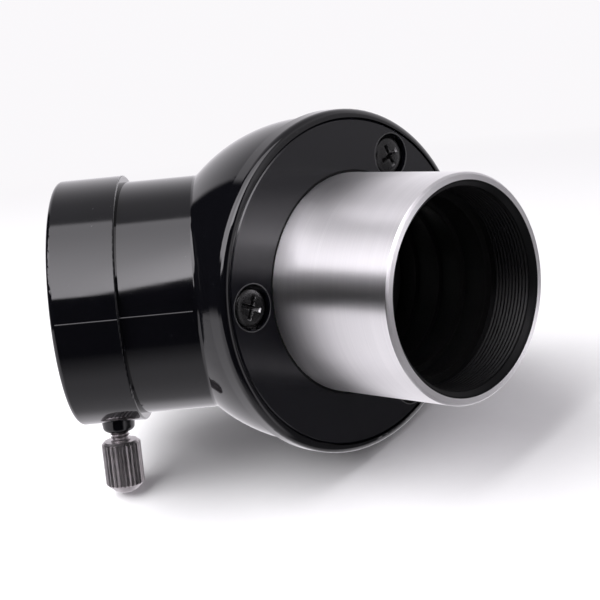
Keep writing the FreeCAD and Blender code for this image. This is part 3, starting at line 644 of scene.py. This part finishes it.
def make_floor():
    """A pale sheet: it leans under the object, levels out behind it, and fades into the surround far away."""
    uphill = Vector((-REST_NORMAL.x, -REST_NORMAL.y, 0)).normalized()
    across = UP.cross(uphill)
    slope = math.sqrt(1 - REST_NORMAL.z ** 2) / REST_NORMAL.z
    resting = [*node_points("housing"), *node_points("thumbscrew_knob")]
    touching = min(point.dot(REST_NORMAL) for point in resting)
    level_from, level_to = 14 * MM, 34 * MM
    # rows lie close together near the object, and ever further apart beyond it
    near = [k * 2 * MM for k in range(-30, 31)]
    far = [0.08, 0.12, 0.2, 0.4, 0.8, 1.6]
    places = [*(-place for place in reversed(far)), *near, *far]
    heights, height = {}, 0
    for before, place in zip([places[0], *places], places):
        middle = (before + place) / 2
        height += (place - before) * slope * (1 - smooth_step(middle, level_from, level_to))
        heights[place] = height
    shift = touching / REST_NORMAL.z - heights[0]
    points = [uphill * u + across * v + UP * (heights[u] + shift) for u in places for v in places]
    count = len(places)
    faces = [
        (a * count + b, (a + 1) * count + b, (a + 1) * count + b + 1, a * count + b + 1)
        for a in range(count - 1)
        for b in range(count - 1)
    ]
    paint = Paint("pale paper", Roughness=1.0, Specular_IOR_Level=0.0)
    fibres = paint.noise(1.5 * MM, 5)
    paint.colour(paint.blend(fibres, (0.88, 0.87, 0.89), (0.9, 0.89, 0.91)))
    fade_from, fade_to = 0.06, 0.5
    reach = paint.node("ShaderNodeVectorMath", operation="LENGTH")
    paint.join(paint.place, reach.inputs[0])
    fade = paint.node("ShaderNodeMixShader")
    paint.join(paint.span(reach.outputs["Value"], fade_from, fade_to, 0, 1), fade.inputs["Fac"])
    paint.join(paint.shader.outputs["BSDF"], fade.inputs[1])
    paint.join(glowing(paint, SURROUND), fade.inputs[2])
    show(paint, fade.outputs["Shader"])
    floor = new_piece("floor", points, faces, [paint.material])
    floor.visible_glossy = False


def direction_of(azimuth, elevation):
    """The direction with an azimuth from -Y towards +X and an elevation above the horizon, in radians."""
    level = math.cos(elevation)
    return Vector((math.sin(azimuth) * level, -math.cos(azimuth) * level, math.sin(elevation)))


def softbox(azimuth, elevation):
    """The softbox high in front: how much of a direction it fills, and how bright it is there."""
    middle = 38
    level = math.cos(math.radians(elevation))
    ahead = level * math.cos(math.radians(azimuth - middle))
    sideways = level * math.sin(math.radians(azimuth - middle))
    rise = math.degrees(math.atan2(math.sin(math.radians(elevation)), ahead))
    # its foot steps up to the right
    foot = 14 + 2.2 * min(8, max(0, azimuth - 33))
    cover = between(rise, (foot - 1, foot + 1), (86, 88)) * between(sideways, (-0.55, -0.5), (0.3, 0.35))
    # it is brighter to its right and towards its foot
    glow = 2.7 + 4.8 * (1 - smooth_step(rise, 20, 85)) * (0.5 + 0.5 * smooth_step(azimuth, 30, 39))
    return cover, glow


def studio_tone(azimuth, elevation):
    """What a shiny face sees in a direction: azimuth 0 is -Y and 90 is +X, elevation is above the horizon."""
    tone = 1.1 - 0.65 * smooth_step(elevation, 25, 70) - 0.5 * (1 - smooth_step(elevation, -68, -50))
    # the wall to the right of the nosepiece is dim
    wall = between(azimuth, (95, 115), (145, 160)) * (1 - smooth_step(elevation, 30, 50))
    wall_tone = 0.12 + 0.42 * smooth_step(elevation, -11, -3)
    tone += (wall_tone - tone) * wall
    # the table in front of the object lies in its shade
    table = between(azimuth, (-5, 20), (78, 95)) * (1 - smooth_step(elevation, -34, -28))
    table_tone = 0.6 * (1 - smooth_step(elevation, -68, -34))
    tone += (table_tone - tone) * table
    # the rest of the room in front is dark: its left edge leans, and its foot and its top drop to the right
    edge = -90 + 0.5 * max(0, elevation - 20) + 40 * (1 - smooth_step(elevation, -10, 12))
    foot = -8 - 30 * smooth_step(azimuth, -5, 22)
    top = 55 - 40 * smooth_step(azimuth, 74, 84)
    dark = between(azimuth, (edge - 3, edge + 3), (78, 95))
    dark *= between(elevation, (foot - 5, foot), (top, top + 10))
    tone *= 1 - dark
    cover, glow = softbox(azimuth, elevation)
    tone += (glow - tone) * cover
    # a low wing stands to the left of the softbox
    wing = between(elevation, (18, 22), (46, 68)) * between(azimuth, (-36, -30), (3, 8))
    wing_tone = 4.6
    return tone + (wing_tone - tone) * wing


def make_studio():
    """A shell round the object that only shiny faces see: what a small white studio would reflect in them."""
    radius, columns, rows = 1.3, 360, 180
    points, tones = [], []
    for row in range(rows + 1):
        elevation = -90 + 180 * row / rows
        for column in range(columns):
            azimuth = -180 + 360 * column / columns
            points.append(direction_of(math.radians(azimuth), math.radians(elevation)) * radius)
            tones.append(studio_tone(azimuth, elevation))
    faces = [
        (row * columns + k, row * columns + (k + 1) % columns,
         (row + 1) * columns + (k + 1) % columns, (row + 1) * columns + k)
        for row in range(rows)
        for k in range(columns)
    ]
    paint = Paint("studio light")
    shell = new_piece("studio_shell", points, faces, [paint.material])
    tone = shell.data.attributes.new("tone", "FLOAT", "POINT")
    tone.data.foreach_set("value", tones)
    reader = paint.node("ShaderNodeAttribute", attribute_name="tone")
    show(paint, glowing(paint, (1, 0.97, 1.02), reader.outputs["Fac"]))
    paint.material.cycles.emission_sampling = "NONE"
    shell.visible_camera = False
    shell.visible_diffuse = False
    shell.visible_shadow = False
    shell.visible_transmission = False


def make_backdrop():
    """The pale surround that is seen behind the object; it gives no light of its own."""
    paint = Paint("backdrop")
    show(paint, glowing(paint, SURROUND))
    paint.material.cycles.emission_sampling = "NONE"
    work = bmesh.new()
    bmesh.ops.create_uvsphere(work, u_segments=48, v_segments=24, radius=3.0)
    mesh = bpy.data.meshes.new("backdrop")
    work.to_mesh(mesh)
    work.free()
    mesh.materials.append(paint.material)
    backdrop = bpy.data.objects.new("backdrop", mesh)
    bpy.context.scene.collection.objects.link(backdrop)
    backdrop.visible_diffuse = False
    backdrop.visible_glossy = False
    backdrop.visible_shadow = False


def make_lights():
    """An even white surround, and a large soft lamp high in front on the left."""
    world = bpy.data.worlds.new("surround")
    bpy.context.scene.world = world
    world.use_nodes = True
    background = world.node_tree.nodes["Background"]
    background.inputs["Color"].default_value = (*SURROUND, 1)
    background.inputs["Strength"].default_value = 0.6
    lamp = bpy.data.lights.new("soft_lamp", "AREA")
    lamp.shape, lamp.size, lamp.energy = "SQUARE", 0.6, 6.0
    holder = bpy.data.objects.new("soft_lamp", lamp)
    holder.location = (-0.15, -0.38, 0.44)
    holder.rotation_mode = "QUATERNION"
    holder.rotation_quaternion = (-holder.location).to_track_quat("-Z", "Y")
    holder.visible_glossy = False
    holder.visible_camera = False
    bpy.context.scene.collection.objects.link(holder)


def make_camera():
    """A moderate telephoto view, from the nosepiece's side and a little above, held at a slight tilt."""
    azimuth, elevation, roll = math.radians(47.77), math.radians(9.59), math.radians(-5.84)
    distance, aside, above = 228.95 * MM, -7.89 * MM, -2.62 * MM
    back = direction_of(azimuth, elevation)
    level = Vector((math.cos(azimuth), math.sin(azimuth), 0))
    upright = back.cross(level)
    right = level * math.cos(roll) + upright * math.sin(roll)
    up = upright * math.cos(roll) - level * math.sin(roll)
    data = bpy.data.cameras.new("camera")
    data.sensor_width, data.lens = 36.0, 94.8
    data.clip_start, data.clip_end = 0.005, 20
    camera = bpy.data.objects.new("camera", data)
    axes = Matrix((right, up, back)).transposed().to_4x4()
    camera.matrix_world = Matrix.Translation(right * aside + up * above + back * distance) @ axes
    bpy.context.scene.collection.objects.link(camera)
    bpy.context.scene.camera = camera


make_camera()
make_pieces()
make_floor()
make_studio()
make_backdrop()
make_lights()
bpy.context.scene.view_settings.view_transform = "Standard"
